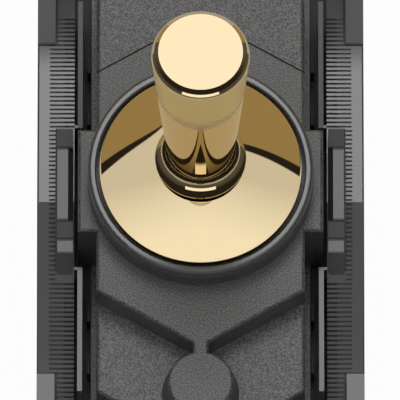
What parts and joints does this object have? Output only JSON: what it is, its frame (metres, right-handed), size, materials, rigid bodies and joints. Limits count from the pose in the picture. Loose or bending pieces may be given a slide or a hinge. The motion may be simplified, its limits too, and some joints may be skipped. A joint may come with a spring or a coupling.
{
  "type": "lever pushbutton switch module",
  "caption": "Narrow wall-box switch module whose sprung gilt lever tilts in a domed disc to press a momentary contact; screw terminals behind.",
  "frame": {"origin": "middle of the rear housing's flat back face", "axes": "+Z out of the front, +Y towards the module's upper end (the end without the round boss), +X across the module to the right seen from the front"},
  "size_m": [0.0224, 0.045, 0.0504],
  "materials": {
    "housing_plastic": "moulded black, fine satin",
    "frame_plastic": "moulded black, satin gloss",
    "cover_plastic": "moulded black with a fine grain",
    "gilt": "polished, plated",
    "steel": "plain, zinc plated",
    "carrier_plastic": "moulded, plain",
    "contact_brass": "pressed strip, plain",
    "silver": "silver contact tip, plain"
  },
  "bodies": {
    "module": {"rear_housing": "housing_plastic", "mounting_frame": "frame_plastic", "front_cover": "cover_plastic", "escutcheon_disc": "gilt", "pivot_pin": "steel", "chassis": "carrier_plastic", "return_spring": "steel", "contact_strip_lower": "contact_brass", "contact_strip_upper": "contact_brass", "fixed_tip_lower": "silver", "fixed_tip_upper": "silver", "terminal_cage_lower": "contact_brass", "terminal_cage_upper": "contact_brass", "terminal_screw_lower": "steel", "terminal_screw_upper": "steel"},
    "lever_body": {"lever": "gilt", "lever_core": "steel", "lever_carrier": "carrier_plastic"},
    "plunger_body": {"plunger": "carrier_plastic", "contact_bridge": "contact_brass", "moving_tip_lower": "silver", "moving_tip_upper": "silver", "bridge_spring": "steel"}
  },
  "joints": [
    {"name": "lever_tilt", "type": "hinge", "parent": "module", "child": "lever_body", "pos_m": [0, 0, 0.0296], "axis": [1, 0, 0], "range_deg": [0, 8], "stiffness_Nm_per_rad": 0.1, "springref_deg": -17.19},
    {"name": "plunger_travel", "type": "slide", "parent": "module", "child": "plunger_body", "axis": [0, 0, -1], "range_m": [0, 0.00067], "deforming": ["return_spring"]}
  ],
  "couplings": [
    {"joint": "plunger_travel", "follows": "lever_tilt", "m_per_rad": 0.00479}
  ]
}
